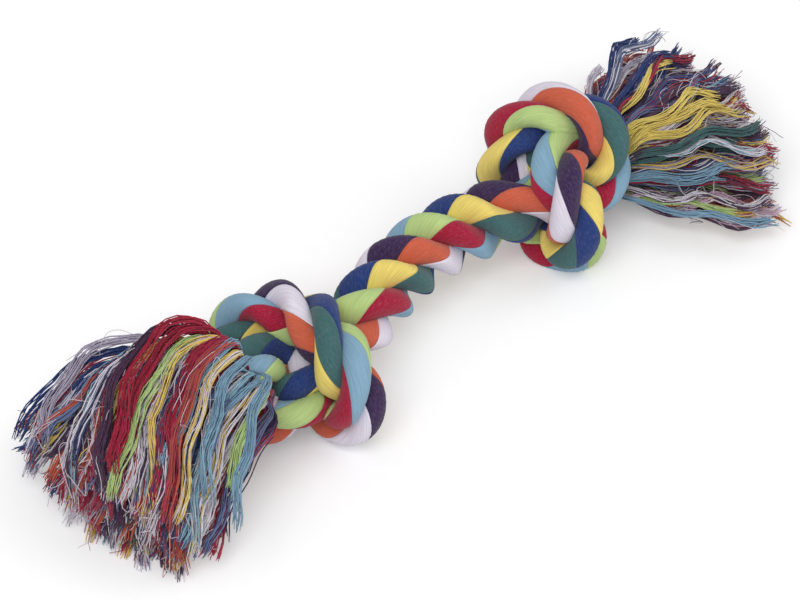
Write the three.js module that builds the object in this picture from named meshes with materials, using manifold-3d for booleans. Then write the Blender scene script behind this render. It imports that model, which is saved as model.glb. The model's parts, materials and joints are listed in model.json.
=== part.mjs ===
// A knotted rope toy: one length of three-strand cotton rope with an overhand knot near each end
// and both ends unlaid into a tuft. Each strand is three dyed rovings twisted together.
// Millimetres, +Z up, +X along the toy, the toy lying on the plane z = 0.

import * as THREE from 'three';
import { mergeVertices } from 'three/addons/utils/BufferGeometryUtils.js';
import Module from 'manifold-3d';

const wasm = await Module();
wasm.setup();

// The rope
const ROPE_DIAMETER = 20;
const LAY_LENGTH = 38;
const STEPS_PER_LAY = 12;
const STRAND_FILL = 0.86;
const ROVING_GAP = 0.34;

// The knots, tied alike and pulled tight, which squeezes the rope in them and draws out its lay
const KNOT_SPACING = 112;
const KNOT_SQUEEZE = 0.66;
const KNOT_LAY_LENGTH = 47;
const SQUEEZE_RUN = 17;
const LOOP_HEADING = THREE.MathUtils.degToRad(41.2);
const LOOP_TILT = THREE.MathUtils.degToRad(48);
const TURN_OVER_SLOPE = THREE.MathUtils.degToRad(28.6);
const PRESSED = { left: 1.6, right: 3.2 };

// The steps along each knot, counted from the bar's middle, at which the rovings run straight on:
// tying the knot has turned them in their strands
const HELD_STEPS = { left: [16, 26, 52, 57], right: [22, 27, 37, 40, 43, 46, 53, 57] };

// The bar of rope between the knots, and the points along it that its bow passes through
const BAR_BOW = 4;
const BOW_SHARES = [1 / 3, 2 / 3];

// The gap between pieces that follow each other along the rope
const PIECE_GAP = 0.3;

// The strand phase at the middle of the bar, as an angle from straight up
const LAY_PHASE = THREE.MathUtils.degToRad(19);

// The tufts, measured from the rope's ends: the point that the yarns swell towards, and how far
// away along the floor the middle of the tips lies. Then the tips' height, which way they point
// on the floor, and how far the locks fan out there. They run straight on from the rope at first.
// The places are shares of a tuft's length. As they come apart, the strands turn back against
// the lay. The locks sink towards their tips, and the outer ones end sooner than the middle ones.
const TUFTS = {
  left: { bend: [-18, 24, 17], run: [-55, 6], tipHeight: 9, heading: 193, width: 97, height: 64 },
  right: { bend: [18, -2, 2], run: [42, -18], tipHeight: 10, heading: -14, width: 106, height: 62 },
};
const TUFT_START = 8;
const TUFT_PLACES = [0, 0.1, 0.22, 0.37, 0.53, 0.69, 0.85, 1];
const TUFT_FLARE = 0.52;
const UNLAY_TURN = THREE.MathUtils.degToRad(55);
const TIP_RAGGEDNESS = 0.05;
const TIP_CURVE = 0.24;
const TIP_SINK = 0.45;
const TIP_ROUNDING = 0.8;
const LOCK_FILL = 0.87;

// The three strands in the order in which their crowns follow each other along the rope,
// and in each the three rovings in the order in which they come to the outside
const STRANDS = [
  { rovings: ['white', 'purple', 'orange'], turn: 180 },
  { rovings: ['sky', 'lime', 'red'], turn: 60 },
  { rovings: ['blue', 'yellow', 'green'], turn: 0 },
];
const DYES = {
  white: 0xd9d3e0,
  purple: 0x3f2a4f,
  orange: 0xd9623a,
  sky: 0x79b9cf,
  lime: 0xa9d067,
  red: 0xb52245,
  blue: 0x2a4a8c,
  yellow: 0xe3c544,
  green: 0x2f6a63,
};

// The rope's path through a knot, in rope diameters from the middle of its loop:
// across the loop, up the loop, and out of the face of the loop.
// It starts at the bar, runs once round the loop, turns back round the bar,
// and leaves through the loop.
const KNOT_PATH = [
  [-1.1, -1.04, 0.4],
  [-0.6, -0.9, 0.26],
  [-0.08, -0.78, -0.04],
  [0.46, -0.66, -0.26],
  [0.8, -0.24, -0.22],
  [0.72, 0.32, -0.02],
  [0.28, 0.66, 0.1],
  [-0.28, 0.64, 0.08],
  [-0.68, 0.28, -0.06],
  [-0.78, -0.28, -0.3],
  [-0.56, -0.84, -0.62],
  [-0.12, -1.3, -0.62],
  [0.26, -1.5, -0.22],
  [0.38, -1.34, 0.28],
  [0.24, -0.84, 0.62],
  [0.06, -0.28, 0.46],
  [0.06, 0.06, -0.12],
  [0.38, 0.08, -0.72],
  [0.7, 0.06, -0.97],
];

const Z_AXIS = new THREE.Vector3(0, 0, 1);

// How finely the rope's path is measured, and its frame carried from one station to the next
const PATH_DIVISIONS = 4000;
const PATH_STEP = 0.1;
const CARRY_STEPS = 6;
const NO_TURN = 1e-12;

// The loop's own axes in the toy's frame
const loopAcross = new THREE.Vector3(Math.cos(LOOP_HEADING), -Math.sin(LOOP_HEADING), 0);
const loopBack = new THREE.Vector3(Math.sin(LOOP_HEADING), Math.cos(LOOP_HEADING), 0);
const loopUp = loopBack.clone().multiplyScalar(Math.sin(LOOP_TILT));
loopUp.addScaledVector(Z_AXIS, Math.cos(LOOP_TILT));
const loopFace = loopBack.clone().multiplyScalar(-Math.cos(LOOP_TILT));
loopFace.addScaledVector(Z_AXIS, Math.sin(LOOP_TILT));
const turnOverAxis = new THREE.Vector3(0, -Math.cos(TURN_OVER_SLOPE), -Math.sin(TURN_OVER_SLOPE));

function knotPoints(side) {
  const points = KNOT_PATH.map(([across, up, face]) => {
    const point = new THREE.Vector3();
    point.addScaledVector(loopAcross, across * ROPE_DIAMETER);
    point.addScaledVector(loopUp, up * ROPE_DIAMETER);
    point.addScaledVector(loopFace, face * ROPE_DIAMETER);
    return side === 'left' ? point.applyAxisAngle(turnOverAxis, Math.PI) : point;
  });
  const lowest = new THREE.CatmullRomCurve3(points, false, 'centripetal')
    .getPoints(KNOT_PATH.length * CARRY_STEPS)
    .reduce((low, point) => Math.min(low, point.z), Infinity);
  const middle = new THREE.Vector3(side === 'left' ? -KNOT_SPACING / 2 : KNOT_SPACING / 2, 0, 0);
  middle.z = (ROPE_DIAMETER * KNOT_SQUEEZE) / 2 - PRESSED[side] - lowest;
  return points.map((point) => point.add(middle));
}

function barPoints(leftEnd, rightEnd) {
  return BOW_SHARES.map((share) => {
    const point = leftEnd.clone().lerp(rightEnd, share);
    point.y += BAR_BOW;
    return point;
  });
}

const leftKnot = knotPoints('left');
const rightKnot = knotPoints('right');
const bar = barPoints(leftKnot[0], rightKnot[0]);
const ropePath = new THREE.CatmullRomCurve3(
  [...leftKnot.slice().reverse(), ...bar, ...rightKnot],
  false,
  'centripetal',
);
ropePath.arcLengthDivisions = PATH_DIVISIONS;
const ropeLength = ropePath.getLength();

// Distances along the rope are measured from the middle of the bar, positive to the right.
// The knots start where the bar's path meets the knots' own points.
// Stations along the rope are a twelfth of a lay apart, so they lie wider in the knots.
const barHalf = arcTo(rightKnot[0]);
const stations = ropeStations();
const barSteps = stations.findLastIndex((distance) => distance <= barHalf);
const endSteps = stations.length - 1;

function ropeStations() {
  const distances = [0];
  let next = LAY_LENGTH / STEPS_PER_LAY;
  while (next <= ropeLength / 2) {
    distances.push(next);
    next += THREE.MathUtils.lerp(LAY_LENGTH, KNOT_LAY_LENGTH, knotShare(next)) / STEPS_PER_LAY;
  }
  return distances;
}

function station(index) {
  return Math.sign(index) * stations[Math.abs(index)];
}

// 0 in the bar, rising to 1 where the knot grips the rope
function knotShare(distance) {
  return THREE.MathUtils.smoothstep(Math.abs(distance) - barHalf, 0, SQUEEZE_RUN);
}

function arcTo(target) {
  let best = 0;
  let nearest = Infinity;
  for (let distance = 0; distance < KNOT_SPACING / 2; distance += PATH_STEP) {
    const gap = ropePoint(distance).distanceTo(target);
    if (gap < nearest) {
      nearest = gap;
      best = distance;
    }
  }
  return best;
}

function ropePoint(distance) {
  return ropePath.getPointAt(0.5 + distance / ropeLength);
}

function ropeTangent(distance) {
  return ropePath.getTangentAt(0.5 + distance / ropeLength);
}

// A frame that follows the rope without turning about it, by double reflection
function carryNormal(normal, from, to) {
  const start = ropePoint(from);
  const chord = ropePoint(to).sub(start);
  const tangent = ropeTangent(from);
  const mirrored = reflect(normal, chord);
  const mirroredTangent = reflect(tangent, chord);
  const second = ropeTangent(to).sub(mirroredTangent);
  return second.lengthSq() < NO_TURN ? mirrored : reflect(mirrored, second);
}

function reflect(vector, axis) {
  const share = (2 * vector.dot(axis)) / axis.lengthSq();
  return vector.clone().addScaledVector(axis, -share);
}

function ropeNormals() {
  const normals = new Map();
  const startTangent = ropeTangent(0);
  const up = Z_AXIS.clone().addScaledVector(startTangent, -Z_AXIS.dot(startTangent)).normalize();
  normals.set(0, up);
  for (const way of [1, -1]) {
    let normal = up;
    for (let index = 1; index <= endSteps; index += 1) {
      for (let part = 1; part <= CARRY_STEPS; part += 1) {
        const from = THREE.MathUtils.lerp(stations[index - 1], stations[index], (part - 1) / CARRY_STEPS);
        const to = THREE.MathUtils.lerp(stations[index - 1], stations[index], part / CARRY_STEPS);
        normal = carryNormal(normal, way * from, way * to);
      }
      normals.set(way * index, normal);
    }
  }
  return normals;
}

const normals = ropeNormals();

function squeezeAt(distance) {
  return THREE.MathUtils.lerp(1, KNOT_SQUEEZE, knotShare(distance));
}

// The rope's section: three six-sided strands round the axis, each split in three rovings.
// A roving is the strand's middle and three corners of the strand, drawn in by half the gap.
const strandOffset = ROPE_DIAMETER / 2 / (1 + STRAND_FILL);
const strandRadius = strandOffset * STRAND_FILL;
const LAY_TURN = (2 * Math.PI) / STEPS_PER_LAY;
const CORNER_TURN = Math.PI / 3;

function turnedSteps(index) {
  const held = index < 0 ? HELD_STEPS.left : HELD_STEPS.right;
  const steps = Math.abs(index);
  return Math.sign(index) * (steps - held.filter((step) => step <= steps).length);
}

function rovingCorners(strand, roving, index, scale) {
  const layAngle = LAY_PHASE + index * LAY_TURN - strand * 2 * CORNER_TURN;
  const rovingTurn = THREE.MathUtils.degToRad(STRANDS[strand].turn);
  const own = rovingTurn + roving * 2 * CORNER_TURN - turnedSteps(index) * 2 * LAY_TURN;
  const middle = new THREE.Vector2(strandOffset, 0);
  const corners = [middle];
  for (const turn of [-1, 0, 1]) {
    const angle = own + turn * CORNER_TURN;
    corners.push(new THREE.Vector2(Math.cos(angle), Math.sin(angle)).multiplyScalar(strandRadius).add(middle));
  }
  const centre = middle.clone().add(corners[2]).multiplyScalar(0.5);
  const inRadius = (strandRadius * scale * Math.sin(2 * CORNER_TURN)) / 2;
  const keep = 1 - ROVING_GAP / 2 / inRadius;
  for (const corner of corners) {
    corner.sub(centre).multiplyScalar(keep).add(centre);
    corner.rotateAround(new THREE.Vector2(), layAngle).multiplyScalar(scale);
  }
  return corners;
}

function ropeRing(strand, roving, index, shift) {
  const distance = station(index) + shift;
  const centre = ropePoint(distance);
  const normal = normals.get(index);
  const side = new THREE.Vector3().crossVectors(ropeTangent(station(index)), normal);
  const corners = rovingCorners(strand, roving, index, squeezeAt(distance));
  return corners.map(({ x, y }) => centre.clone().addScaledVector(normal, x).addScaledVector(side, y));
}

// A closed solid through rings that start at the strand's middle. The first and the last side
// of a roving face its neighbours, and both are split from the near middle to the far corner,
// so that neighbouring rovings keep parallel faces.
function loft(rings) {
  const count = rings[0].length;
  const positions = rings.flat().flatMap(({ x, y, z }) => [x, y, z]);
  const faces = [];
  for (let ring = 0; ring + 1 < rings.length; ring += 1) {
    for (let corner = 0; corner < count; corner += 1) {
      const next = (corner + 1) % count;
      const near = ring * count;
      const far = near + count;
      if (next === 0) {
        faces.push(near + corner, near + next, far + corner);
        faces.push(near + next, far + next, far + corner);
      } else {
        faces.push(near + corner, near + next, far + next);
        faces.push(near + corner, far + next, far + corner);
      }
    }
  }
  const last = (rings.length - 1) * count;
  for (let corner = 1; corner + 1 < count; corner += 1) {
    faces.push(0, corner + 1, corner);
    faces.push(last, last + corner, last + corner + 1);
  }
  const geometry = new THREE.BufferGeometry();
  geometry.setAttribute('position', new THREE.Float32BufferAttribute(positions, 3));
  geometry.setIndex(faces);
  return geometry;
}

function toSolid(geometry) {
  const bare = geometry.clone();
  bare.deleteAttribute('normal');
  bare.deleteAttribute('uv');
  const merged = mergeVertices(bare);
  return new wasm.Manifold(
    new wasm.Mesh({
      numProp: 3,
      vertProperties: new Float32Array(merged.attributes.position.array),
      triVerts: new Uint32Array(merged.index.array),
    }),
  );
}

function toGeometry(solid) {
  const mesh = solid.getMesh();
  const geometry = new THREE.BufferGeometry();
  geometry.setAttribute('position', new THREE.Float32BufferAttribute(Array.from(mesh.vertProperties), 3));
  geometry.setIndex(Array.from(mesh.triVerts));
  return geometry;
}

const toy = new THREE.Group();

function addPiece(name, dye, geometry) {
  geometry.computeVertexNormals();
  const material = new THREE.MeshStandardMaterial({ color: DYES[dye], roughness: 0.9, metalness: 0 });
  const mesh = new THREE.Mesh(geometry, material);
  mesh.name = name;
  toy.add(mesh);
}

function eachRoving(make) {
  STRANDS.forEach(({ rovings }, strand) => {
    rovings.forEach((dye, roving) => make(dye, strand, roving));
  });
}

function ropeStretch(strand, roving, from, to) {
  const rings = [];
  for (let index = from; index <= to; index += 1) {
    const shift = index === from ? PIECE_GAP / 2 : index === to ? -PIECE_GAP / 2 : 0;
    rings.push(ropeRing(strand, roving, index, shift));
  }
  return loft(rings);
}

// The level direction square to a heading, and the one square to both
function levelAxes(heading) {
  const wide = new THREE.Vector3().crossVectors(Z_AXIS, heading).normalize();
  const tall = new THREE.Vector3().crossVectors(heading, wide).normalize();
  return [wide, tall];
}

// A lock of a tuft starts at its roving's end, and the nine locks fan out together:
// at each ring the rope's section is stretched more, across and upwards.
function tuftLock(side, strand, roving) {
  const outward = side === 'left' ? -1 : 1;
  const index = outward * endSteps;
  const tangent = ropeTangent(station(index));
  const normal = normals.get(index);
  const binormal = new THREE.Vector3().crossVectors(tangent, normal);
  const tuft = TUFTS[side];
  const root = ropePoint(station(index)).addScaledVector(tangent, (outward * PIECE_GAP) / 2);
  const bend = root.clone().add(new THREE.Vector3(...tuft.bend));
  const tip = new THREE.Vector3(root.x + tuft.run[0], root.y + tuft.run[1], tuft.tipHeight);
  const leave = root.clone().addScaledVector(tangent, outward * TUFT_START);
  const axis = new THREE.CubicBezierCurve3(root, leave, bend, tip);
  const [rootWide, rootTall] = levelAxes(tangent.clone().multiplyScalar(outward));
  const heading = THREE.MathUtils.degToRad(tuft.heading);
  const [wide, tall] = levelAxes(new THREE.Vector3(Math.cos(heading), Math.sin(heading), 0));
  const ropeWidth = ROPE_DIAMETER * squeezeAt(station(index));
  const corners = rovingCorners(strand, roving, index, squeezeAt(station(index)));
  const fanPlace = ({ x, y }, flare) => {
    const offset = normal.clone().multiplyScalar(x).addScaledVector(binormal, y);
    const level = new THREE.Vector2(offset.dot(rootWide), offset.dot(rootTall));
    return level.rotateAround(new THREE.Vector2(), -UNLAY_TURN * flare);
  };
  const lockMiddle = corners[0].clone().add(corners[2]).multiplyScalar(0.5);
  const outerShare = (2 * fanPlace(lockMiddle, 1).x) / ropeWidth;
  const length = 1 - TIP_RAGGEDNESS * ((strand + 2 * roving) % 3) - TIP_CURVE * outerShare ** 2;
  const rings = [];
  for (const place of TUFT_PLACES) {
    const share = place * length;
    const flare = share ** TUFT_FLARE;
    const sink = 1 - TIP_SINK * share ** 2;
    const points = corners.map((corner) => {
      const level = fanPlace(corner, flare);
      const laid = rootWide.clone().multiplyScalar(level.x).addScaledVector(rootTall, level.y);
      const spread = wide.clone().multiplyScalar((level.x * tuft.width) / ropeWidth);
      spread.addScaledVector(tall, (level.y * tuft.height * sink) / ropeWidth);
      return axis.getPointAt(share).add(laid.lerp(spread, flare));
    });
    const centre = points[0].clone().lerp(points[2], 0.5);
    const fill = place === 1 ? TIP_ROUNDING : LOCK_FILL;
    rings.push(points.map((point) => point.lerp(centre, 1 - fill)));
  }
  return loft(outward > 0 ? rings : rings.reverse());
}

// Where the toy lies on the floor its pieces are pressed flat
const FLOOR_SIZE = 2 * (KNOT_SPACING + ROPE_DIAMETER + TUFTS.right.run[0] - TUFTS.left.run[0]);

function flattened(geometry) {
  geometry.computeBoundingBox();
  if (geometry.boundingBox.min.z >= 0) {
    return geometry;
  }
  const floor = new THREE.BoxGeometry(FLOOR_SIZE, FLOOR_SIZE, ROPE_DIAMETER);
  floor.translate(0, 0, -ROPE_DIAMETER / 2);
  return toGeometry(toSolid(geometry).subtract(toSolid(floor)));
}

eachRoving((dye, strand, roving) => {
  addPiece(`bar_${dye}`, dye, ropeStretch(strand, roving, -barSteps, barSteps));
  addPiece(`right_knot_${dye}`, dye, flattened(ropeStretch(strand, roving, barSteps, endSteps)));
  addPiece(`left_knot_${dye}`, dye, flattened(ropeStretch(strand, roving, -endSteps, -barSteps)));
  addPiece(`right_tuft_${dye}`, dye, flattened(tuftLock('right', strand, roving)));
  addPiece(`left_tuft_${dye}`, dye, flattened(tuftLock('left', strand, roving)));
});

// The part's origin is on the floor, under the middle of the toy
const boxMiddle = new THREE.Box3().setFromObject(toy).getCenter(new THREE.Vector3());
toy.position.set(-boxMiddle.x, -boxMiddle.y, 0);
const part = new THREE.Group();
part.add(toy);

export default part;
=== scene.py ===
# %% [markdown]
# # A knotted rope toy
#
# The toy is one length of thick cotton rope with an overhand knot near each end and both ends
# frayed into a tuft. Its CAD model, the frame, has a plain solid for each stretch of each roving.
# This script dresses the frame: the rovings get their round, flush surfaces and their yarn, and the
# tufts become loose yarns. Everything is in metres, in the frame's own axes: +X along the toy and
# +Z up from the floor.

# %% The frame
import json
import math

import bpy
import numpy as np
from mathutils import Matrix, Vector


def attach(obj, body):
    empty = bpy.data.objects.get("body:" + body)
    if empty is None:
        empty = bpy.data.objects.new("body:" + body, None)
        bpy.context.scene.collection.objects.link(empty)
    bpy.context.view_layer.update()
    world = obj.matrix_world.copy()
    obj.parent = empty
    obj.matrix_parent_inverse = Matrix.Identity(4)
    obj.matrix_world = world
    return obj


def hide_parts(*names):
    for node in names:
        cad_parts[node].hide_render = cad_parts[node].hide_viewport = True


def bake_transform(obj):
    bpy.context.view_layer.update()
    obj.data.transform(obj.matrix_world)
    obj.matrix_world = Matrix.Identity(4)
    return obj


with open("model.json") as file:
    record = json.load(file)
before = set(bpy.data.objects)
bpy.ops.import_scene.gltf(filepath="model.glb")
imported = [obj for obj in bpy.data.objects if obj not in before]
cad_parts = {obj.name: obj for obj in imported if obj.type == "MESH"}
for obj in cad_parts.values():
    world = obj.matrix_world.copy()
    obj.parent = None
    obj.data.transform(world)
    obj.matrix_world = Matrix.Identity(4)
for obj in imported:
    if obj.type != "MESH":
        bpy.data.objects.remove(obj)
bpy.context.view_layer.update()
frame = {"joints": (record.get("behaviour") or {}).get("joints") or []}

MM = 0.001
joint_at = {joint["name"]: np.array(joint["pos_m"]) for joint in frame["joints"]}

# %% [markdown]
# ## The camera
#
# The photograph was taken with a long lens from about 48 degrees above the floor, looking across
# the toy. A short lens close by would take in as much but show the near tuft too large. So the
# camera stands well back, and its focal length is worked out from the width that it has to take in.
# It comes first, so that every later piece can be compared with the photograph.

# %% Camera
VIEW_ELEVATION = math.radians(48)
VIEW_HEADING = math.radians(41.2)
VIEW_DISTANCE = 1.6
VIEW_WIDTH = 238.8 * MM
VIEW_TARGET = Vector((4.5, 10.48, 2.0)) * MM
VIEW_LIMIT = 20
# Blender gives a lens and its sensor in millimetres
SENSOR_WIDTH = 36

view_right = Vector((math.cos(VIEW_HEADING), -math.sin(VIEW_HEADING), 0))
view_along = Vector((math.sin(VIEW_HEADING), math.cos(VIEW_HEADING), 0))
view_up = view_along * math.sin(VIEW_ELEVATION) + Vector((0, 0, math.cos(VIEW_ELEVATION)))
view_back = Vector((0, 0, math.sin(VIEW_ELEVATION))) - view_along * math.cos(VIEW_ELEVATION)

camera = bpy.data.objects.new("camera", bpy.data.cameras.new("camera"))
camera.data.sensor_width = SENSOR_WIDTH
camera.data.lens = SENSOR_WIDTH * VIEW_DISTANCE / VIEW_WIDTH
camera.data.clip_end = VIEW_LIMIT
camera.matrix_world = Matrix((view_right, view_up, view_back)).transposed().to_4x4()
camera.location = VIEW_TARGET + view_back * VIEW_DISTANCE
bpy.context.scene.collection.objects.link(camera)
bpy.context.scene.camera = camera
print("lens", round(camera.data.lens), "mm")

# %% [markdown]
# ## The rope's sizes
#
# A laid rope is described by its diameter and by its lay, the length in which a strand goes once
# round. In the knots the rope is squeezed and its lay is drawn out. These values repeat the CAD
# model's, so that every dressed piece lies where its solid lies. A knot's path is a short list of
# points, which goes over and under itself as a rope does in an overhand knot.

# %% Rope and knot sizes
ROPE_DIAMETER = 20 * MM
LAY_LENGTH = 38 * MM
LAY_PHASE = math.radians(19)
KNOT_SPACING = 112 * MM
KNOT_SQUEEZE = 0.66
KNOT_LAY_LENGTH = 47 * MM
SQUEEZE_RUN = 17 * MM
LOOP_HEADING = math.radians(41.2)
LOOP_TILT = math.radians(48)
TURN_OVER_SLOPE = math.radians(28.6)
# How far each knot is pressed flat on the floor
PRESSED = {"left": 1.6 * MM, "right": 3.2 * MM}
BAR_BOW = 4 * MM
BOW_SHARES = (1 / 3, 2 / 3)
# The squeeze starts this far from the bar's middle, and the joints lie some of the solids' steps out
BAR_HALF = 26.4 * MM
STEPS_PER_LAY = 12
BAR_STEPS = 8
BAR_END = BAR_STEPS * LAY_LENGTH / STEPS_PER_LAY

# The rope's way through a knot, in rope diameters: across, up and out of the face of its loop
KNOT_PATH = np.array([
    (-1.1, -1.04, 0.4), (-0.6, -0.9, 0.26), (-0.08, -0.78, -0.04), (0.46, -0.66, -0.26),
    (0.8, -0.24, -0.22), (0.72, 0.32, -0.02), (0.28, 0.66, 0.1), (-0.28, 0.64, 0.08),
    (-0.68, 0.28, -0.06), (-0.78, -0.28, -0.3), (-0.56, -0.84, -0.62), (-0.12, -1.3, -0.62),
    (0.26, -1.5, -0.22), (0.38, -1.34, 0.28), (0.24, -0.84, 0.62), (0.06, -0.28, 0.46),
    (0.06, 0.06, -0.12), (0.38, 0.08, -0.72), (0.7, 0.06, -0.97),
])
print("knot points", len(KNOT_PATH), "rope", ROPE_DIAMETER / MM, "mm")

# %% [markdown]
# ## The rope's path
#
# One smooth curve runs from the left tuft through the left knot, along the bar and through the
# right knot. Blender's own curves could carry it, but the rope needs a frame at every ring of it,
# so it is worked out here. It is a centripetal Catmull-Rom curve, which passes through every point
# without overshooting where points lie close together.

# %% Smooth curve
POINTS_PER_SPAN = 60


def curve_through(points):
    """A centripetal Catmull-Rom curve through the points."""
    padded = np.vstack([2 * points[0] - points[1], points, 2 * points[-1] - points[-2]])
    share = np.linspace(0, 1, POINTS_PER_SPAN, endpoint=False)[:, None]
    spans = []
    for before, here, there, after in zip(padded, padded[1:], padded[2:], padded[3:]):
        first = math.sqrt(np.linalg.norm(here - before))
        span = math.sqrt(np.linalg.norm(there - here))
        last = math.sqrt(np.linalg.norm(after - there))
        step = there - here
        leave = ((here - before) / first - (there - before) / (first + span)) * span + step
        arrive = ((after - there) / last - (after - here) / (span + last)) * span + step
        bend = 3 * step - 2 * leave - arrive
        sway = leave + arrive - 2 * step
        spans.append(here + leave * share + bend * share**2 + sway * share**3)
    return np.vstack([*spans, points[-1:]])


def length_along(points):
    """The distance along each row of points, from 0 at its first."""
    steps = np.linalg.norm(np.diff(points, axis=-2), axis=-1)
    return np.concatenate([np.zeros((*steps.shape[:-1], 1)), np.cumsum(steps, axis=-1)], axis=-1)


def places_along(points, distances):
    """Places on a row of points, at distances from its first."""
    run = length_along(points)
    return np.stack([np.interp(distances, run, points[:, k]) for k in range(3)], axis=-1)


print("points in a knot's curve", len(curve_through(KNOT_PATH)))

# %% [markdown]
# Both knots are tied alike, and the rope goes into them from opposite ends. So the left knot needs no
# points of its own: it is the right one, turned over by half a turn about a slanting axis. Each rests
# on the floor, pressed a little flat. Two points between them give the bar its slight bow.

# %% Knots and bar
Z_AXIS = np.array((0.0, 0.0, 1.0))


def knot_points(side):
    """The rope's points through one knot, with its underside on the floor."""
    across = np.array((math.cos(LOOP_HEADING), -math.sin(LOOP_HEADING), 0))
    back = np.array((math.sin(LOOP_HEADING), math.cos(LOOP_HEADING), 0))
    up = back * math.sin(LOOP_TILT) + Z_AXIS * math.cos(LOOP_TILT)
    face = Z_AXIS * math.sin(LOOP_TILT) - back * math.cos(LOOP_TILT)
    points = KNOT_PATH @ np.array((across, up, face)) * ROPE_DIAMETER
    if side == "left":
        axis = np.array((0, -math.cos(TURN_OVER_SLOPE), -math.sin(TURN_OVER_SLOPE)))
        points = 2 * np.outer(points @ axis, axis) - points
    lowest = curve_through(points)[:, 2].min()
    middle_x = KNOT_SPACING / 2 if side == "right" else -KNOT_SPACING / 2
    return points + (middle_x, 0, ROPE_DIAMETER * KNOT_SQUEEZE / 2 - PRESSED[side] - lowest)


left_points = knot_points("left")
right_points = knot_points("right")
bar_points = [
    left_points[0] * (1 - share) + right_points[0] * share + (0, BAR_BOW, 0) for share in BOW_SHARES
]
rope_curve = curve_through(np.vstack([left_points[::-1], bar_points, right_points]))
print("rope curve", len(rope_curve), "points")

# %% [markdown]
# ## Rings along the rope
#
# The curve is cut into even rings, and distances are measured from the middle of the bar. The
# solids' passes through a knot keep clear of each other, while the real ones press together, so
# each knot's rings are drawn in towards its middle.

# %% Rings
RING_STEP = 1.25 * MM
KNOT_TIGHTNESS = {"left": 0.95, "right": 0.9}


def unit(vectors):
    return vectors / np.linalg.norm(vectors, axis=-1, keepdims=True)


def smooth_step(values):
    share = np.clip(values, 0, 1)
    return share * share * (3 - 2 * share)


rope_half = length_along(rope_curve)[-1] / 2
ring_half = round(rope_half / RING_STEP)
distance = np.linspace(-rope_half, rope_half, 2 * ring_half + 1)
ring_step = distance[1] - distance[0]
centre = places_along(rope_curve, distance + rope_half)
centre += joint_at["left_bend"] - centre[np.argmin(abs(distance + BAR_END))]
knot_share = smooth_step((abs(distance) - BAR_HALF) / SQUEEZE_RUN)
for side, in_knot in (("left", distance < -BAR_HALF), ("right", distance > BAR_HALF)):
    inward = centre[in_knot & (knot_share == 1)].mean(axis=0) - centre[in_knot]
    centre[in_knot] += inward * (1 - KNOT_TIGHTNESS[side]) * knot_share[in_knot, None]
tangent = unit(np.gradient(centre, ring_step, axis=0))
bending = np.gradient(tangent, ring_step, axis=0)
print("rope", round(2 * rope_half / MM), "mm in", len(distance), "rings")

# %% [markdown]
# Each ring needs a frame of two directions square to the rope. Working them out from the curve's
# bend would make them flip where the rope straightens. Instead the bar's middle ring gets one that
# points up, which is carried from ring to ring without turning about the rope, by reflecting it
# twice. The other is square to it.

# %% Frames
NO_TURN = 1e-12


def reflect(vector, axis):
    return vector - axis * (2 * vector @ axis / (axis @ axis))


def carry_frame(normals, rings):
    """Carries the normal from ring to ring without turning it about the rope."""
    for here, there in zip(rings, rings[1:]):
        chord = centre[there] - centre[here]
        second = tangent[there] - reflect(tangent[here], chord)
        mirrored = reflect(normals[here], chord)
        normals[there] = reflect(mirrored, second) if second @ second > NO_TURN else mirrored


normal = np.zeros_like(centre)
normal[ring_half] = unit(Z_AXIS - tangent[ring_half] * (Z_AXIS @ tangent[ring_half]))
carry_frame(normal, range(ring_half, len(distance)))
carry_frame(normal, range(ring_half, -1, -1))
binormal = np.cross(tangent, normal)
print("frames", len(normal))

# %% [markdown]
# ## Strands and rovings
#
# Three strands are laid into the rope, and each is three rovings, each of its own dye. The strands
# turn about the rope with the lay, and the rovings turn back in their strand at twice the rate, which
# is what keeps a real rope from unlaying. Tying the knots also wound the rovings up a little, and the
# order in which the dyes come up shows by how much.

# %% Lay
# Each strand's dyes in the order in which they come to the outside, and where the first starts
STRANDS = {
    "plum": ("white", "purple", "orange"),
    "lime": ("sky", "lime", "red"),
    "navy": ("blue", "yellow", "green"),
}
FIRST_ROVING = {"plum": 180, "lime": 60, "navy": 0}
THIRD = 2 * math.pi / 3

# How far the rovings are wound up, in degrees, by distance from the bar's middle in mm. The strands
# differ a little, except at the rope's ends.
EXTRA_TURN = {
    -242: 120, -175: 215, -145: 260, -115: 205, -55: 95, -28: 0,
    0: 0, 28: -20, 85: 40, 105: 125, 130: 145, 150: 110, 185: 45, 210: 5, 242: 120,
}
STRAND_SHIFT = {"plum": -25, "lime": 10, "navy": 0}

lay_rate = 2 * math.pi / (LAY_LENGTH + (KNOT_LAY_LENGTH - LAY_LENGTH) * knot_share)
lay_turn = np.concatenate([[0], np.cumsum((lay_rate[1:] + lay_rate[:-1]) / 2 * ring_step)])
lay_turn -= lay_turn[ring_half]
extra_turn = np.radians(np.interp(distance / MM, list(EXTRA_TURN), list(EXTRA_TURN.values())))
off_end = smooth_step((rope_half - abs(distance)) / (2 * SQUEEZE_RUN))


def strand_angles(strand, roving):
    """The strand's angle in the rope and the roving's angle in the strand, at every ring."""
    lay = LAY_PHASE + lay_turn - list(STRANDS).index(strand) * THIRD
    shift = math.radians(STRAND_SHIFT[strand]) * off_end
    own = math.radians(FIRST_ROVING[strand]) + roving * THIRD - 2 * lay_turn + extra_turn + shift
    return lay, own


print("turns of the lay", round((lay_turn[-1] - lay_turn[0]) / (2 * math.pi), 1))

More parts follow.
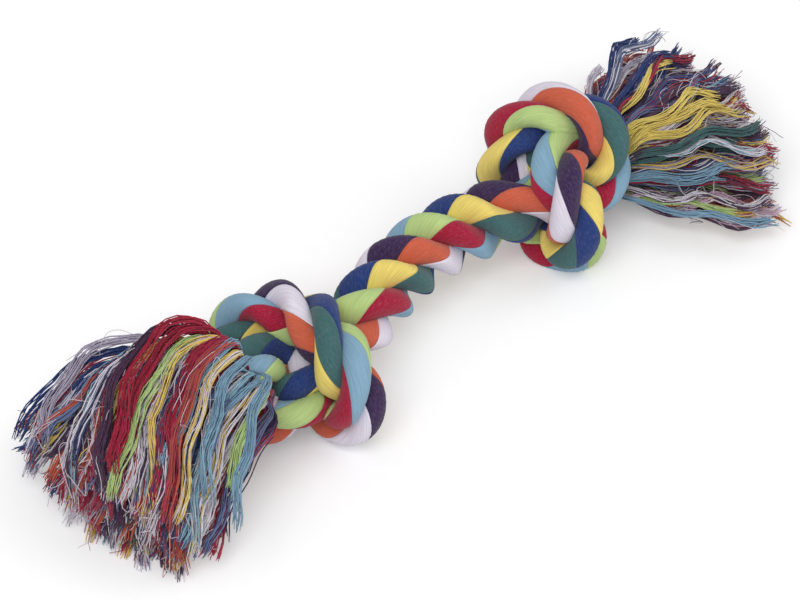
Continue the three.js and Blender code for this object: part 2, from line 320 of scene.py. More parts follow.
# %% [markdown]
# ## Cotton yarn
#
# The rope is spun cotton, dyed before it was laid. Cotton yarn is matt: short fibres scatter the
# light, so it is rough, has hardly any gloss and a soft pale sheen at grazing angles. Close up the
# colour isn't flat. Fine fibre streaks run along the yarn, the dye took unevenly over some
# millimetres, and short fibre ends show as pale flecks. An image could hold all this, but noise
# needs no file and doesn't repeat. Each pattern's width and length are real sizes, and it follows a
# UV map that is measured in metres across and along the yarn. Single fibres are too fine to show,
# so a streak is drawn as wide as a whole bundle of them.

# %% Colours and nodes
DYE_HEX = {
    "white": "ddd6e3", "purple": "36204a", "orange": "c75c41",
    "sky": "80a5bd", "lime": "b3cb82", "red": "a00c34",
    "blue": "1d3672", "yellow": "e6cf6c", "green": "3a6364",
}
FLECK_HEX = "efe9ee"


def linear(hex_colour):
    """sRGB hex to linear red, green, blue and alpha."""
    srgb = [int(hex_colour[k:k + 2], 16) / 255 for k in (0, 2, 4)]
    return [c / 12.92 if c <= 0.04045 else ((c + 0.055) / 1.055) ** 2.4 for c in srgb] + [1]


def add_node(material, kind, settings=None, inputs=None):
    """Adds a node, sets its properties, and fills its inputs with values or links."""
    node = material.node_tree.nodes.new(kind)
    for key, value in (settings or {}).items():
        setattr(node, key, value)
    for key, value in (inputs or {}).items():
        if isinstance(value, bpy.types.NodeSocket):
            material.node_tree.links.new(value, node.inputs[key])
        else:
            node.inputs[key].default_value = value
    return node


print("yellow in linear light", [round(part, 3) for part in linear(DYE_HEX["yellow"])])

# %% Cotton's patterns and surface
# A pattern's size across and along the yarn, the noise values that count, and what they become: the
# tone of a streak or a patch of dye, and the share of a pale fleck
YARN_PATTERNS = {
    "streak": {"size": (0.35 * MM, 6 * MM), "noise": (0.25, 0.75), "becomes": (0.84, 1.14)},
    "patch": {"size": (9 * MM, 9 * MM), "noise": (0.3, 0.7), "becomes": (0.95, 1.05)},
    "fleck": {"size": (0.4 * MM, 1.1 * MM), "noise": (0.45, 0.75), "becomes": (0, 0.05)},
}
NOISE_GRAIN = {"Scale": 1, "Detail": 2, "Roughness": 0.55}
STREAK_RELIEF = {"Strength": 0.5, "Distance": 0.12 * MM}
COTTON_SURFACE = {
    "Roughness": 0.92, "Specular IOR Level": 0.2, "Sheen Weight": 0.12, "Sheen Roughness": 0.6,
}
print("patterns", list(YARN_PATTERNS))

# %% Cotton material
# A mix node has sockets for several kinds of data, and these are the numbers of those for colour
MIX_FACTOR, MIX_FROM, MIX_TO, MIX_RESULT = 0, 6, 7, 2


def cotton_yarn(name, dye=None):
    """Spun cotton of one linear colour. With none, each yarn's own colour comes from the mesh."""
    material = bpy.data.materials.new(name)
    material.use_nodes = True
    if dye is None:
        dye = add_node(material, "ShaderNodeAttribute", {"attribute_name": "dye"}).outputs["Color"]
    uv = add_node(material, "ShaderNodeUVMap", {"uv_map": "yarn"})
    noise = {}
    level = {}
    for kind, pattern in YARN_PATTERNS.items():
        width, length = pattern["size"]
        scaled = add_node(material, "ShaderNodeVectorMath", {"operation": "MULTIPLY"},
                          {0: uv.outputs["UV"], 1: (1 / width, 1 / length, 1)})
        grain = add_node(material, "ShaderNodeTexNoise", None,
                         {"Vector": scaled.outputs["Vector"], **NOISE_GRAIN})
        noise[kind] = grain.outputs["Fac"]
        ranges = zip(("From Min", "From Max", "To Min", "To Max"), pattern["noise"] + pattern["becomes"])
        ranged = add_node(material, "ShaderNodeMapRange", None, {"Value": noise[kind], **dict(ranges)})
        level[kind] = ranged.outputs["Result"]
    tone = add_node(material, "ShaderNodeMath", {"operation": "MULTIPLY"},
                    {0: level["streak"], 1: level["patch"]})
    dyed = add_node(material, "ShaderNodeVectorMath", {"operation": "SCALE"},
                    {0: dye, "Scale": tone.outputs["Value"]})
    flecked = add_node(material, "ShaderNodeMix", {"data_type": "RGBA"},
                       {MIX_FACTOR: level["fleck"], MIX_FROM: dyed.outputs["Vector"],
                        MIX_TO: linear(FLECK_HEX)})
    bump = add_node(material, "ShaderNodeBump", None, {"Height": noise["streak"], **STREAK_RELIEF})
    shader = material.node_tree.nodes["Principled BSDF"]
    for socket, value in COTTON_SURFACE.items():
        shader.inputs[socket].default_value = value
    material.node_tree.links.new(flecked.outputs[MIX_RESULT], shader.inputs["Base Color"])
    material.node_tree.links.new(bump.outputs["Normal"], shader.inputs["Normal"])
    return material


cotton = {dye: cotton_yarn("dyed_cotton_" + dye, linear(code)[:3]) for dye, code in DYE_HEX.items()}
mixed_cotton = cotton_yarn("mixed_cotton_filler")
print("materials", len(cotton) + 1)

# %% [markdown]
# ## Meshes
#
# Rovings and yarns are all sweeps: rows of rings joined by four-sided faces, with the ends closed.
# A Blender curve with a bevel would make a sweep too, but not one whose section changes from ring to
# ring. Building the meshes from arrays allows that, and is quick for thousands of yarns. The UV map
# "yarn" holds the distance across and along.

# %% Sweeps
def corner_points(mesh):
    """The point number of every face corner."""
    numbers = np.zeros(len(mesh.loops), dtype=np.int32)
    mesh.loops.foreach_get("vertex_index", numbers)
    return numbers


def add_mesh(name, points, faces, uv, material):
    """A mesh object with a yarn UV map, one UV per point. Its ends are flat and the rest is smooth."""
    mesh = bpy.data.meshes.new(name)
    mesh.from_pydata(points.tolist(), [], faces)
    mesh.polygons.foreach_set("use_smooth", [len(face) == 4 for face in faces])
    corner_uv = uv[corner_points(mesh)].astype(np.float32)
    mesh.uv_layers.new(name="yarn").data.foreach_set("uv", corner_uv.ravel())
    mesh.materials.append(material)
    piece = bpy.data.objects.new(name, mesh)
    bpy.context.scene.collection.objects.link(piece)
    return piece


def ring_faces(rings, around, first=0):
    """Faces of a closed sweep whose points are numbered ring by ring."""
    faces = []
    for ring in range(rings - 1):
        near = first + ring * around
        far = near + around
        for k in range(around):
            after = (k + 1) % around
            faces.append((near + k, near + after, far + after, far + k))
    faces.append(tuple(range(first + around - 1, first - 1, -1)))
    faces.append(tuple(range(first + (rings - 1) * around, first + rings * around)))
    return faces


print("faces of a prism", ring_faces(2, 3))

# %% [markdown]
# ## The rovings
#
# A strand is round, and its three rovings lie flush in it as three thirds of the circle, each
# showing its colour in a crisp band. Colouring one round strand in three would look much the same,
# but here each roving is a piece of its own, as in the frame. So its section is a third of a circle,
# with a fine ripple for the yarns in it and a slight groove on both edges. The rope is fuller than
# the solids, most of all in the knots, because solids may not touch and pressed rope does.

# %% Roving section
STRAND_OFFSET = 5.1 * MM
STRAND_RADIUS = 4.9 * MM
YARNS_ACROSS = 7
YARN_RIPPLE = 0.1 * MM
EDGE_GROOVE = 0.22 * MM
BAR_FULLNESS = 1.13
KNOT_FULLNESS = 0.94

fullness = BAR_FULLNESS + (KNOT_FULLNESS - BAR_FULLNESS) * knot_share

# The round side has a point on every yarn and in every furrow. The last point is in the strand's middle.
round_angle = np.linspace(-1, 1, 2 * YARNS_ACROSS + 1) * THIRD / 2
ripple = np.where(np.arange(len(round_angle)) % 2 == 0, -YARN_RIPPLE, 0.0)
ripple[[0, -1]] = -EDGE_GROOVE
section_radius = np.append(STRAND_RADIUS + ripple, 0)
section_angle = np.append(round_angle, 0)
section_across = section_angle * STRAND_RADIUS


def section_offsets(lay, own, radius, angle, rings):
    """Points of a strand's section as offsets from the rope's axis, for the given rings."""
    turn = own[rings, None] + angle
    x = STRAND_OFFSET + radius * np.cos(turn)
    y = radius * np.sin(turn)
    cos = np.cos(lay[rings, None])
    sin = np.sin(lay[rings, None])
    along_normal = (x * cos - y * sin) * fullness[rings, None]
    along_side = (x * sin + y * cos) * fullness[rings, None]
    return along_normal[..., None] * normal[rings, None] + along_side[..., None] * binormal[rings, None]


print("points in a section", len(section_angle))

# %% [markdown]
# Where the rope bends tightly, a swept section would fold over itself on the inner side. Real yarn
# is pressed together there, and under its own weight the rope's underside lies flat. Both are done
# by moving points, with soft limits, so that no edge shows where the pressing starts.

# %% Pressed places
FREE_BEND = 0.5
MOST_BEND = 0.82
NO_BEND = 1e-9
FLOOR_SOFTNESS = 1.2 * MM


def press_inside_bend(offsets):
    """Draws the inner side of a tight bend together, so that the sweep doesn't fold over."""
    bend = bending[:, None]
    depth = np.sum(offsets * bend, axis=-1)
    room = MOST_BEND - FREE_BEND
    limited = FREE_BEND + room * np.tanh((depth - FREE_BEND) / room)
    pressed = np.where(depth > FREE_BEND, limited, depth)
    strength = np.maximum(np.sum(bend * bend, axis=-1), NO_BEND)
    return offsets + bend * ((pressed - depth) / strength)[..., None]


def press_on_floor(points):
    """Flattens what lies under the floor, with a soft edge."""
    height = points[..., 2]
    points[..., 2] = (height + np.sqrt(height**2 + FLOOR_SOFTNESS**2)) / 2
    return points


print("tightest bend", round(1 / np.linalg.norm(bending, axis=1).max() / MM, 1), "mm")

# %% [markdown]
# A roving runs on through all stretches of the toy, but it is cut where the rope bends as a joint.
# If each stretch were shaded by itself, its last ring would take its shading from one side only, and
# a hairline would show at the cut. So the whole roving is swept first, and every stretch keeps the
# whole sweep's normals.

# %% Roving sweep
def sweep_normals(points):
    """The normals of a whole sweep, so that its stretches shade alike where they meet."""
    mesh = bpy.data.meshes.new("whole_sweep")
    mesh.from_pydata(points.reshape(-1, 3).tolist(), [], ring_faces(*points.shape[:2]))
    normals = np.zeros(points.size, dtype=np.float32)
    mesh.vertex_normals.foreach_get("vector", normals)
    bpy.data.meshes.remove(mesh)
    return normals.reshape(points.shape)


def roving_sweep(strand, roving):
    """One roving's points, normals and UVs along the whole rope, ring by ring."""
    lay, own = strand_angles(strand, roving)
    offsets = section_offsets(lay, own, section_radius, section_angle, np.arange(len(distance)))
    points = press_on_floor(centre[:, None] + press_inside_bend(offsets))
    uv = np.stack(np.broadcast_arrays(section_across, distance[:, None]), axis=-1)
    return points, sweep_normals(points), uv


def roving_piece(name, sweep, rings, dye):
    """The stretch of a roving along the given rings, with flat ends."""
    points, normals, uv = (array[rings].reshape(-1, array.shape[-1]) for array in sweep)
    around = len(section_angle)
    piece = add_mesh(name, points, ring_faces(len(rings), around), uv, cotton[dye])
    corner_normals = normals[corner_points(piece.data)]
    # The last two faces are the ends, and a normal of 0 leaves them flat
    corner_normals[-2 * around:] = 0
    piece.data.normals_split_custom_set(corner_normals.tolist())
    return piece


print("points in a roving", len(distance) * len(section_angle))

# %% [markdown]
# The knots are firm, so their rovings ride on them. The bar's rovings are cut in the middle, and each
# half is left where it was made.

# %% Rovings of the bar and the knots
bar_first, bar_last = np.searchsorted(distance, (-BAR_END, BAR_END))
stretches = {
    "left_knot": np.arange(0, bar_first + 1),
    "bar_left": np.arange(bar_first, ring_half + 1),
    "bar_right": np.arange(ring_half, bar_last + 1),
    "right_knot": np.arange(bar_last, len(distance)),
}
for strand, dyes in STRANDS.items():
    for roving, dye in enumerate(dyes):
        sweep = roving_sweep(strand, roving)
        pieces = {place: roving_piece(place + "_roving_" + dye, sweep, rings, dye)
                  for place, rings in stretches.items()}
        for side in ("left", "right"):
            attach(pieces[side + "_knot"], side + "_knot")
            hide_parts(side + "_knot_" + dye)
            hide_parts("bar_" + dye)
        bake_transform(pieces["bar_left"])
        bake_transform(pieces["bar_right"])
print("roving pieces", len(DYE_HEX) * len(stretches))

# %% [markdown]
# ## The tufts
#
# Beyond the knots the rope is unlaid and every roving comes apart into locks of fine yarn, which fan
# out and lie on the floor. Blender's hair could grow such yarns, but these have to start in their own
# roving and stay a mesh. So each tuft gets a middle line from the rope's end to its tip, and a fan
# across that line. The left tuft's line rises over its knot first, and the right one's runs straight.

# %% Tuft fans
# A fan is square to its heading, in degrees, and its width and height are in mm
TUFT_FANS = {
    "left": {"heading": 196, "width": 82, "height": 55},
    "right": {"heading": -14, "width": 97, "height": 56},
}


def rope_end(side):
    """The place of the rope's end, its ring number and the direction in which the rope leaves."""
    ring, way = (0, -1) if side == "left" else (len(distance) - 1, 1)
    return centre[ring], ring, tangent[ring] * way


def level_axes(heading):
    """The level direction square to a heading, and the one square to both."""
    wide = unit(np.cross(Z_AXIS, heading))
    return wide, unit(np.cross(heading, wide))


def fan_axes(side):
    """The directions across a tuft's fan, level and up."""
    heading = math.radians(TUFT_FANS[side]["heading"])
    return level_axes(np.array((math.cos(heading), math.sin(heading), 0)))


for side in TUFT_FANS:
    print(side, "rope end at", rope_end(side)[0].round(4))

# %% Tuft lines
# In mm from the rope's end: where the middle line bends and how far it runs, and then its tip's
# height above the floor
TUFT_LINES = {
    "left": {"bend": (-18, 24, 17), "run": (-53, -3.5), "tip_height": 9},
    "right": {"bend": (18, -2, 2), "run": (49, -15), "tip_height": 11},
}
TUFT_START = 8 * MM
LINE_POINTS = 60


def tuft_line(side, share):
    """Points on the tuft's middle line, at shares of its length. Below 0 it runs back into the rope."""
    tuft = TUFT_LINES[side]
    root, _, outward = rope_end(side)
    leave = root + outward * TUFT_START
    bend = root + np.array(tuft["bend"]) * MM
    tip = np.array((*(root[:2] + np.array(tuft["run"]) * MM), tuft["tip_height"] * MM))
    step = np.linspace(0, 1, LINE_POINTS)[:, None]
    rest = 1 - step
    line = root * rest**3 + 3 * leave * step * rest**2 + 3 * bend * step**2 * rest + tip * step**3
    length = length_along(line)[-1]
    return places_along(line, share * length) + outward * np.minimum(share, 0)[..., None] * length


for side in TUFT_LINES:
    print(side, "tuft ends at", tuft_line(side, np.array([1.0])).round(4))

# %% [markdown]
# ## Locks
#
# A lock is a flat bundle of yarns that were spun together. It starts where its roving ends. As the
# strands come apart they turn back against the lay, and the locks open into the fan, quickly at
# first, and later on the left tuft's far side. The outer locks end sooner than the middle ones, and
# the right tuft's far ones end sooner still. The left tuft's upper locks swell up over the knot before
# they fall. A simulation could let them fall, but rules for the whole fan keep to the photograph's
# outline. None may run through the knot, so they are pushed out of its rope and smoothed, a few times
# over.

# %% Lock sizes
# Dyed locks lie on the outside of each strand, and filler locks nearly all through it: inner is the
# least share of the strand's radius, shortest the least share of the tuft's length, and scatter
# how far a lock strays in the fan
LOCK_KINDS = {
    "dyed": {"count": 6, "inner": 0.55, "shortest": 0.62, "scatter": 0.3},
    "filler": {"count": 52, "inner": 0.2, "shortest": 0.85, "scatter": 0.19},
}
LONGEST = 0.98
ROOT_SHARE = -0.06
YARN_RINGS = 20
LOCK_HALF = (1.6 * MM, 0.5 * MM)
LOCK_BOW = (4.5 * MM, 1.8 * MM)
UNLAY_TURN = math.radians(55)

# The fan opens with the share of the length to the power of the flare, which grows by the delay
# towards the far side. The far cut is a share of the length, and the swell is in mm.
TUFT_HANGS = {
    "left": {"flare": 0.45, "far_delay": 0.4, "far_cut": 0, "swell": (16.5, 19.8, 26.4)},
    "right": {"flare": 0.62, "far_delay": 0, "far_cut": 0.26, "swell": (0, 0, 0)},
}
SWELL_START = -0.5
MOST_SWELL = 1.2
TIP_CURVE = 0.12
TIP_SINK = 0.45
MOST_SPREAD = 1.5


def few_far(rng, shape):
    """Bell-shaped random numbers without the far ones."""
    return np.clip(rng.normal(size=shape), -MOST_SPREAD, MOST_SPREAD)


print("locks", {kind: sizes["count"] for kind, sizes in LOCK_KINDS.items()})

# %% Clear of the knot
SMOOTHING_ROUNDS = 3
LOCK_REACH = ROPE_DIAMETER * KNOT_FULLNESS / 2 + LOCK_HALF[1]
# The rope's last stretch doesn't count, because the locks start inside it
END_ROOM = 1.1 * ROPE_DIAMETER
NO_GAP = 1e-6


def clear_of_knot(side, points):
    """Moves points out of the knot's rope, as far from its axis as a lock can lie."""
    far_from_end = abs(distance) < rope_half - END_ROOM
    axis_points = centre[far_from_end & (distance < 0 if side == "left" else distance > 0)]
    flat = points.reshape(-1, 3)
    away = flat[:, None] - axis_points[None]
    gap = np.linalg.norm(away, axis=-1)
    nearest = gap.argmin(axis=1)
    rows = np.arange(len(flat))
    least = gap[rows, nearest]
    push = np.maximum(LOCK_REACH - least, 0) / np.maximum(least, NO_GAP)
    return (flat + away[rows, nearest] * push[:, None]).reshape(points.shape)


def drape_over_knot(side, guides):
    """Pushes the locks out of the knot and smooths them. Their first two points stay in the rope."""
    for _ in range(SMOOTHING_ROUNDS):
        guides[:, 2:] = clear_of_knot(side, guides[:, 2:])
        guides[:, 2:-1] = (guides[:, 1:-2] + 2 * guides[:, 2:-1] + guides[:, 3:]) / 4
    return guides


print("locks lie", round(LOCK_REACH / MM, 1), "mm from the knot's axis")

# %% Lock guides
def fan_places(side, strand, rng, kind, middle, half_width):
    """Where some locks of a strand start in the rope, and their places in the tuft's fan, -1 to 1."""
    _, ring, outward = rope_end(side)
    lay, own = strand_angles(strand, 0)
    out = np.sqrt(rng.uniform(kind["inner"]**2, 1, kind["count"]))
    turn = middle + rng.uniform(-half_width, half_width, kind["count"])
    roots = section_offsets(lay, own, out * STRAND_RADIUS, turn, np.array([ring]))[0]
    laid = roots @ np.stack(level_axes(outward), axis=1) / (ROPE_DIAMETER * KNOT_FULLNESS / 2)
    cos = math.cos(UNLAY_TURN)
    sin = math.sin(UNLAY_TURN)
    fan = laid @ np.array(((cos, -sin), (sin, cos))) + kind["scatter"] * few_far(rng, (kind["count"], 2))
    return roots, fan / np.maximum(np.linalg.norm(fan, axis=1, keepdims=True), 1)


def lock_guides(side, strand, rng, kind, middle=0, half_width=math.pi):
    """The middle lines of some locks of a strand, and the share of the tuft at each of their points."""
    tuft = TUFT_HANGS[side]
    roots, fan = fan_places(side, strand, rng, kind, middle, half_width)
    wide, tall = fan_axes(side)
    far = np.maximum(fan[:, 0] * np.sign(wide[1]), 0)
    length = rng.uniform(kind["shortest"], LONGEST, kind["count"])
    length = length - TIP_CURVE * fan[:, 0]**2 - tuft["far_cut"] * far**2
    share = np.linspace(ROOT_SHARE, 1, YARN_RINGS)[None] * length[:, None]
    grown = np.clip(share, 0, 1)[..., None]
    flare = grown**(tuft["flare"] + tuft["far_delay"] * far[:, None, None])
    across = fan[:, None, :1] * wide * TUFT_FANS[side]["width"] * MM / 2
    above = fan[:, None, 1:] * tall * TUFT_FANS[side]["height"] * MM / 2 * (1 - TIP_SINK * grown**2)
    bow = few_far(rng, (kind["count"], 1, 2)) * LOCK_BOW * np.sin(math.pi * grown)
    upper = np.clip(fan[:, None, 1:] - SWELL_START, 0, MOST_SWELL)
    swell = np.array(tuft["swell"]) * MM * upper * np.sqrt(grown) * (1 - grown)**3
    guides = tuft_line(side, share) + roots[:, None] * (1 - flare) + (across + above) * flare + swell
    guides += bow[..., :1] * wide + bow[..., 1:] * tall
    return drape_over_knot(side, guides), share


print("points along a lock", YARN_RINGS)

# %% [markdown]
# ## Yarns and fibres
#
# The yarns of a lock lie side by side. All of a tassel's locks keep the wave that the lay pressed
# into them, and each yarn has a fine crimp and a little wander of its own and is cut at its own
# length. Fine fibres have worked loose and curl away from the yarns. Blender's hair particles could
# do this, but with plain arrays every lock, yarn and fibre is placed by rule, and a seeded random
# generator gives the same ones on every run.

# %% Yarn sizes
YARNS_IN_LOCK = 14
YARN_RADIUS = 0.24 * MM
YARN_WANDER = 0.4 * MM
WANDER_BENDS = (1, 2.5)
LAY_WAVE = {"left": 1.2 * MM, "right": 2.8 * MM}
LAY_WAVE_LENGTH = 22 * MM
WAVE_SHARES = (0.5, 1.2)
WAVE_FLATNESS = 0.6
STRAND_PHASE = 2
PHASE_SPREAD = 0.6
CRIMP = 0.28 * MM
CRIMP_LENGTH = (5 * MM, 12 * MM)
LOCK_AT_ROOT = 0.4
LOCK_OPENING = 0.8
# A yarn's last step is longer or shorter by these shares, and on the floor it lies some radii up
CUT_SHARES = (-0.7, 0.4)
FLOOR_RADII = (1.1, 5.1)
print("yarn", 2 * YARN_RADIUS / MM, "mm thick")


# %% Yarns
def lock_yarns(side, strand, rng, guides, share):
    """All yarns of the locks, each a row of points, and each yarn's lock number."""
    locks = len(guides)
    wide, tall = fan_axes(side)
    opened = np.sqrt(np.clip(share, 0, 1))[..., None]
    run = length_along(guides)
    phase = list(STRANDS).index(strand) * STRAND_PHASE + rng.normal(0, PHASE_SPREAD, (locks, 1))
    turn = (2 * math.pi * run / LAY_WAVE_LENGTH + phase)[..., None]
    wave = LAY_WAVE[side] * rng.uniform(*WAVE_SHARES, (locks, 1, 1)) * opened
    guides = guides + wave * (wide * np.sin(turn) + WAVE_FLATNESS * tall * np.cos(turn))
    lock = np.repeat(np.arange(locks), YARNS_IN_LOCK)
    yarns = len(lock)
    bundle = rng.uniform(-1, 1, (yarns, 2)) * LOCK_HALF
    bundle = (bundle[:, :1] * wide + bundle[:, 1:] * tall)[:, None]
    bundle = bundle * (LOCK_AT_ROOT + LOCK_OPENING * opened[lock])
    phase = rng.uniform(0, 2 * math.pi, (yarns, 1, 3))
    crimp_length = rng.uniform(*CRIMP_LENGTH, (yarns, 1, 1))
    crimp = CRIMP * np.sin(2 * math.pi * run[lock][..., None] / crimp_length + phase) * opened[lock]
    bends = rng.uniform(*WANDER_BENDS, (yarns, 1, 1))
    grown = np.clip(share, 0, 1)[lock][..., None]
    wander = YARN_WANDER * few_far(rng, (yarns, 1, 3)) * np.sin(math.pi * grown * bends)
    points = guides[lock] + bundle + crimp + wander
    cut = points[:, -1] - points[:, -2]
    points[:, -1] += cut * rng.uniform(*CUT_SHARES, (yarns, 1))
    points[..., 2] = np.maximum(points[..., 2], YARN_RADIUS * rng.uniform(*FLOOR_RADII, (yarns, 1)))
    return points, lock


print("yarns in a dyed roving", LOCK_KINDS["dyed"]["count"] * YARNS_IN_LOCK)

# %% Fibres
FIBRES = 260
FIBRE_RADIUS = 0.11 * MM
FIBRE_STRAY = (1.2 * MM, 6 * MM)
FIBRE_CURL = (1.05 * MM, 5.25 * MM)
FIBRE_TURN = (1.5, 6)
STRAY_POWER = 1.5
# Where a fibre leaves its yarn, as a share of the yarn, and how many of the yarn's steps it follows
FIBRE_START = (0.3, 0.9)
FIBRE_STEPS = (2, 6)
FIBRE_LEAN = (0.6, 0.6, 1)
# Just short of a yarn's last point
LAST_STEP = YARN_RINGS - 1.001


def fibre_paths(rng, paths):
    """Fine fibres that leave yarns and curl away from them, and each fibre's yarn number."""
    yarn = rng.integers(0, len(paths), FIBRES)
    step = np.linspace(0, 1, YARN_RINGS)[None]
    start = rng.uniform(*FIBRE_START, (FIBRES, 1)) * (YARN_RINGS - 1)
    place = np.minimum(start + step * rng.uniform(*FIBRE_STEPS, (FIBRES, 1)), LAST_STEP)
    low = place.astype(int)
    part = (place - low)[..., None]
    along = paths[yarn[:, None], low] * (1 - part) + paths[yarn[:, None], low + 1] * part
    away = unit(rng.normal(size=(FIBRES, 3))) * FIBRE_LEAN
    across = unit(np.cross(away, rng.normal(size=(FIBRES, 3))))
    turn = step * rng.uniform(*FIBRE_TURN, (FIBRES, 1))
    stray = away[:, None] * (rng.uniform(*FIBRE_STRAY, (FIBRES, 1)) * step**STRAY_POWER)[..., None]
    curl = across[:, None] * (rng.uniform(*FIBRE_CURL, (FIBRES, 1)) * np.sin(turn))[..., None]
    points = along + stray + curl
    points[..., 2] = np.maximum(points[..., 2], FIBRE_RADIUS)
    return points, yarn


print("fibres in a tassel", FIBRES)

# %% [markdown]
# A yarn is about half a millimetre thick, so a tube with three sides looks round, and one mesh holds
# all the tubes of a piece. A piece's yarns start inside the knot.

# %% Yarn tubes
YARN_SIDES = 3
TIP_THICKNESS = 0.55
# Each yarn takes its streaks from another place in the noise
YARN_UV_STEP = 37 * MM
# No yarn runs just this way, so each has a direction that is square to both
SLANT = np.array((0.31, 0.52, 0.79))


def yarn_tubes(name, paths, radius, material):
    """Thin tubes along the paths, in one mesh, each drawn in at its end."""
    count, rings = paths.shape[:2]
    along = unit(np.gradient(paths, axis=1))
    side_way = unit(np.cross(along, SLANT))
    up_way = np.cross(along, side_way)
    turn = np.linspace(0, 2 * math.pi, YARN_SIDES, endpoint=False)
    thickness = np.ones(rings)
    thickness[-1] = TIP_THICKNESS
    circle = np.cos(turn)[:, None] * side_way[:, :, None] + np.sin(turn)[:, None] * up_way[:, :, None]
    points = paths[:, :, None] + circle * (radius[:, None] * thickness)[..., None, None]
    run = length_along(paths) + np.arange(count)[:, None] * YARN_UV_STEP
    uv = np.stack(np.broadcast_arrays(turn * YARN_RADIUS, run[..., None]), axis=-1)
    faces = []
    for yarn in range(count):
        faces += ring_faces(rings, YARN_SIDES, yarn * rings * YARN_SIDES)
    return add_mesh(name, points.reshape(-1, 3), faces, uv.reshape(-1, 2), material)


def hang(piece):
    """Bakes the piece's place into its mesh. Its yarns start in the knot."""
    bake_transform(piece)


# %% [markdown]
# Each roving's locks start in its own third of the strand. Every roving has its own random
# generator, so that changing one leaves the others as they are.

# %% Dyed yarns of the tufts
DYED_SEED = 7

for side_number, side in enumerate(TUFT_LINES):
    for strand_number, (strand, dyes) in enumerate(STRANDS.items()):
        for roving, dye in enumerate(dyes):
            rng = np.random.default_rng([DYED_SEED, side_number, strand_number, roving])
            guides, share = lock_guides(side, strand, rng, LOCK_KINDS["dyed"], roving * THIRD, THIRD / 2)
            paths, _ = lock_yarns(side, strand, rng, guides, share)
            radius = np.full(len(paths), YARN_RADIUS)
            piece = yarn_tubes(side + "_tuft_yarns_" + dye, paths, radius, cotton[dye])
            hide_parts(side + "_tuft_" + dye)
            hang(piece)
print("pieces of dyed yarn", len(TUFT_LINES) * len(DYE_HEX))

# %% [markdown]
# A strand's middle is mixed filler yarn, which shows only here. Each lock of it has two dyes, and
# most of its yarns have the first. A material for every dye would split the locks into many pieces.
# Instead one mesh holds all of a tassel's filler with a colour for every point, which the mixed
# cotton reads. Most of the loose fibres are pale, and the others have their yarn's dye.

# %% Filler yarns of the tufts
FILLER_SEED = 11
FILLER_SHARES = {
    "d9d3dd": 26, "a9a1b5": 8, "63739c": 10, "36457a": 8, "a2233f": 17, "b03450": 7, "4b2d4c": 16,
    "b5513f": 7, "c7a5b8": 5, "86b4c6": 7, "e2c468": 7,
}
SECOND_DYE = 0.4
FIBRE_HEX = "dcd3da"
PALE_FIBRES = 0.6

filler_colours = np.array([linear(code) for code in FILLER_SHARES])
filler_chance = np.array(list(FILLER_SHARES.values())) / sum(FILLER_SHARES.values())
for side_number, side in enumerate(TUFT_LINES):
    for strand_number, strand in enumerate(STRANDS):
        rng = np.random.default_rng([FILLER_SEED, side_number, strand_number])
        guides, share = lock_guides(side, strand, rng, LOCK_KINDS["filler"])
        paths, lock = lock_yarns(side, strand, rng, guides, share)
        lock_dyes = rng.choice(len(filler_chance), (len(guides), 2), p=filler_chance)
        yarn_dye = lock_dyes[lock, (rng.uniform(size=len(lock)) < SECOND_DYE).astype(int)]
        fibres, owner = fibre_paths(rng, paths)
        pale = rng.uniform(size=(FIBRES, 1)) < PALE_FIBRES
        fibre_colours = np.where(pale, linear(FIBRE_HEX), filler_colours[yarn_dye[owner]])
        colours = np.vstack([filler_colours[yarn_dye], fibre_colours]).astype(np.float32)
        radius = np.repeat((YARN_RADIUS, FIBRE_RADIUS), (len(paths), FIBRES))
        tubes = np.vstack([paths, fibres])
        piece = yarn_tubes(side + "_tuft_filler_" + strand, tubes, radius, mixed_cotton)
        dye = piece.data.color_attributes.new("dye", "FLOAT_COLOR", "POINT")
        dye.data.foreach_set("color", np.repeat(colours, YARN_RINGS * YARN_SIDES, axis=0).ravel())
        hang(piece)
print("pieces of filler yarn", len(TUFT_LINES) * len(STRANDS))

# %% [markdown]
# ## Floor and light
#
# The photograph is a plain studio shot on white. A pale paper floor catches a soft shadow, and it
# glows a little for the camera alone, so that it comes out white without lighting the toy from
# below. A large lamp above the camera's left gives the form, and a weaker one on its right and the
# world fill the shadows.

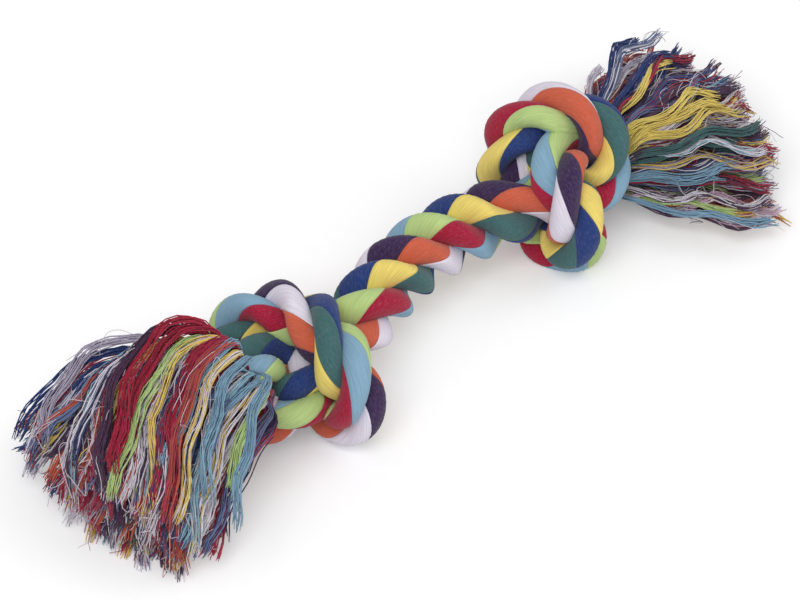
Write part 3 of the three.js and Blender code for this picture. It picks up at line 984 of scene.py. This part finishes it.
# %% Floor
FLOOR_HALF = 3
FLOOR_CORNERS = ((-1, -1), (1, -1), (1, 1), (-1, 1))
PAPER_HEX = "f4f4f5"
PAPER_ROUGHNESS = 0.9
PAPER_GLOW = 0.16
WHITE = (1, 1, 1, 1)

floor_mesh = bpy.data.meshes.new("floor")
floor_points = [(x * FLOOR_HALF, y * FLOOR_HALF, 0) for x, y in FLOOR_CORNERS]
floor_mesh.from_pydata(floor_points, [], [(0, 1, 2, 3)])
floor = bpy.data.objects.new("floor", floor_mesh)
bpy.context.scene.collection.objects.link(floor)
paper = bpy.data.materials.new("white_paper_floor")
paper.use_nodes = True
paper_shader = paper.node_tree.nodes["Principled BSDF"]
paper_shader.inputs["Base Color"].default_value = linear(PAPER_HEX)
paper_shader.inputs["Roughness"].default_value = PAPER_ROUGHNESS
paper_shader.inputs["Emission Color"].default_value = WHITE
seen = add_node(paper, "ShaderNodeLightPath")
glow = add_node(paper, "ShaderNodeMath", {"operation": "MULTIPLY"},
                {0: seen.outputs["Is Camera Ray"], 1: PAPER_GLOW})
paper.node_tree.links.new(glow.outputs["Value"], paper_shader.inputs["Emission Strength"])
floor_mesh.materials.append(paper)
print("floor", 2 * FLOOR_HALF, "m wide")

# %% Lamps and world
LAMPS = {
    "key_lamp": {"place": (-0.7, -0.5, 1.3), "size": 0.9, "power": 11},
    "fill_lamp": {"place": (0.9, -0.6, 1.0), "size": 0.9, "power": 4},
}
WORLD_STRENGTH = 0.55

for name, sizes in LAMPS.items():
    lamp = bpy.data.objects.new(name, bpy.data.lights.new(name, "AREA"))
    lamp.data.size = sizes["size"]
    lamp.data.energy = sizes["power"]
    lamp.location = sizes["place"]
    lamp.rotation_euler = (-Vector(sizes["place"])).to_track_quat("-Z", "Y").to_euler()
    bpy.context.scene.collection.objects.link(lamp)
world = bpy.data.worlds.new("studio")
world.use_nodes = True
world.node_tree.nodes["Background"].inputs["Color"].default_value = WHITE
world.node_tree.nodes["Background"].inputs["Strength"].default_value = WORLD_STRENGTH
bpy.context.scene.world = world
bpy.context.scene.view_settings.view_transform = "Standard"
print("lamps", len(LAMPS))
